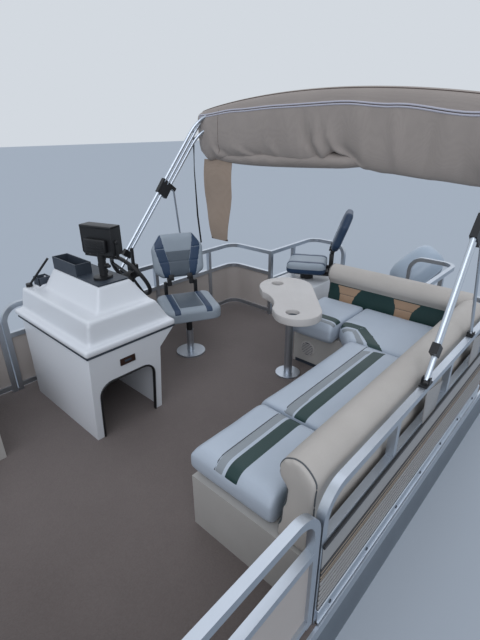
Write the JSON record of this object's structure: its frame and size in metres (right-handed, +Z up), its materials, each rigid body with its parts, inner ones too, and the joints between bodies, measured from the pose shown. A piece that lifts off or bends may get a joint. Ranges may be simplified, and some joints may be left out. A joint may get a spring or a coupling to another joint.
{
  "type": "pontoon boat",
  "caption": "Twin-tube pontoon boat with fenced deck, helm console, L-shaped lounge, table, two swivel seats, folded bimini top and tilting outboard motor.",
  "frame": {"origin": "centre of the boat's bounding box in plan, on the plane its two keels stand on", "axes": "+X to the bow, +Y to port, +Z up"},
  "size_m": [7.363, 2.44, 2.653],
  "materials": {
    "aluminium": "mill finish extrusions and sheet",
    "panel_beige": "beige painted sheet with a black and silver stripe",
    "carpet": "grey-brown marine carpet",
    "white_gelcoat": "white moulded shell",
    "lounge_shell": "off-white rotomoulded seat base",
    "vinyl_white": "cool white marine vinyl with a dark green inlay",
    "vinyl_beige": "beige marine vinyl",
    "black_plastic": "black moulded plastic",
    "grey_plastic": "dark grey moulded dash",
    "seat_vinyl": "grey and blue vinyl over a moulded shell",
    "canvas_tan": "tan acrylic canvas",
    "motor_grey": "pale grey painted cowl",
    "motor_dark": "dark grey painted castings"
  },
  "bodies": {
    "hull": {"bench_backrest": "vinyl_beige", "bench_cushion": "vinyl_white", "bimini_mounts": "black_plastic", "bow_backrest_port": "vinyl_beige", "bow_backrest_starboard": "vinyl_beige", "bow_base_port": "lounge_shell", "bow_base_starboard": "lounge_shell", "bow_cushion_port": "vinyl_white", "bow_cushion_starboard": "vinyl_white", "bow_fence_port": "aluminium", "bow_fence_starboard": "aluminium", "console_base": "white_gelcoat", "console_cap": "white_gelcoat", "console_tray": "grey_plastic", "cross_members": "aluminium", "deck_board": "carpet", "deck_edge_trim": "aluminium", "fence_panels_port": "panel_beige", "fence_panels_starboard": "panel_beige", "fence_port": "aluminium", "fence_starboard": "aluminium", "fish_display": "black_plastic", "helm_pedestal": "aluminium", "light_pole": "black_plastic", "livewell_box": "white_gelcoat", "lounge_backrest": "vinyl_beige", "lounge_base": "lounge_shell", "lounge_cushion_corner": "vinyl_white", "lounge_cushion_front": "vinyl_white", "lounge_cushion_middle": "vinyl_white", "motor_clamp_bracket": "motor_dark", "motor_pod": "aluminium", "pontoon_port": "aluminium", "pontoon_starboard": "aluminium", "steering_boss": "black_plastic", "stern_rails": "aluminium", "table_post": "aluminium", "table_top": "white_gelcoat", "throttle_control": "black_plastic"},
    "side_gate": {"side_gate_frame": "aluminium", "side_gate_panel": "panel_beige"},
    "bow_gate": {"bow_gate_frame": "aluminium", "bow_gate_panel": "panel_beige"},
    "steering_wheel": {"steering_wheel": "black_plastic"},
    "helm_seat": {"helm_seat_cushion": "seat_vinyl", "helm_seat_frame": "black_plastic"},
    "helm_seat_back": {"helm_seat_back": "seat_vinyl"},
    "fishing_seat": {"fishing_seat_cushion": "seat_vinyl", "fishing_seat_frame": "black_plastic"},
    "fishing_seat_back": {"fishing_seat_back": "seat_vinyl"},
    "bimini": {"bimini_bows": "aluminium", "bimini_boot": "canvas_tan", "bimini_clamps": "black_plastic"},
    "bimini_strut_port": {"bimini_strut_port": "aluminium"},
    "bimini_strut_starboard": {"bimini_strut_starboard": "aluminium"},
    "motor_swivel": {"motor_swivel_bracket": "motor_dark"},
    "motor": {"motor_leg": "motor_dark", "motor_cowl": "motor_grey"},
    "propeller": {"propeller": "motor_dark"}
  },
  "joints": [
    {"name": "side_gate_hinge", "type": "hinge", "parent": "hull", "child": "side_gate", "pos_m": [1.70548, 1.16, 0.867], "axis": [0, 0, 1], "range_deg": [0, 90]},
    {"name": "bow_gate_hinge", "type": "hinge", "parent": "hull", "child": "bow_gate", "pos_m": [3.30748, -0.386, 0.867], "axis": [0, 0, 1], "range_deg": [0, 90]},
    {"name": "steering_wheel_turn", "type": "hinge", "parent": "hull", "child": "steering_wheel", "pos_m": [0.26248, -0.68, 1.542], "axis": [-0.866, 0, 0.5], "range_deg": [-540, 540]},
    {"name": "helm_seat_swivel", "type": "hinge", "parent": "hull", "child": "helm_seat", "pos_m": [-0.22652, -0.7, 0.967], "axis": [0, 0, 1], "continuous": true},
    {"name": "helm_seat_fold", "type": "hinge", "parent": "helm_seat", "child": "helm_seat_back", "pos_m": [-0.3406, -0.91456, 1.279], "axis": [-0.8829, 0.4695, 0], "range_deg": [0, 95]},
    {"name": "fishing_seat_swivel", "type": "hinge", "parent": "hull", "child": "fishing_seat", "pos_m": [-1.44852, -0.43, 1.152], "axis": [0, 0, 1], "continuous": true},
    {"name": "fishing_seat_fold", "type": "hinge", "parent": "fishing_seat", "child": "fishing_seat_back", "pos_m": [-1.54852, -0.24193, 1.394], "axis": [0.8829, 0.4695, 0], "range_deg": [0, 95]},
    {"name": "bimini_fold", "type": "hinge", "parent": "hull", "child": "bimini", "pos_m": [0.03148, 0, 1.419], "axis": [0, 1, 0], "range_deg": [0, 85]},
    {"name": "motor_tilt", "type": "hinge", "parent": "hull", "child": "motor_swivel", "pos_m": [-2.77452, 0, 0.637], "axis": [0, 1, 0], "range_deg": [-55, 15]},
    {"name": "motor_steer", "type": "hinge", "parent": "motor_swivel", "child": "motor", "pos_m": [-2.85318, 0, 0.73414], "axis": [0.7771, 0, 0.6293], "range_deg": [-2, 68]},
    {"name": "propeller_spin", "type": "hinge", "parent": "motor", "child": "propeller", "pos_m": [-3.55209, 0.17989, 0.52463], "axis": [-0.5278, 0.5446, 0.6518], "continuous": true},
    {"name": "bimini_strut_port_swing", "type": "hinge", "parent": "bimini", "child": "bimini_strut_port", "pos_m": [-0.52001, 0, 1.97609], "axis": [0, 1, 0], "range_deg": [0, 60]},
    {"name": "bimini_strut_starboard_swing", "type": "hinge", "parent": "bimini", "child": "bimini_strut_starboard", "pos_m": [-0.52001, 0, 1.97609], "axis": [0, 1, 0], "range_deg": [0, 60]}
  ]
}
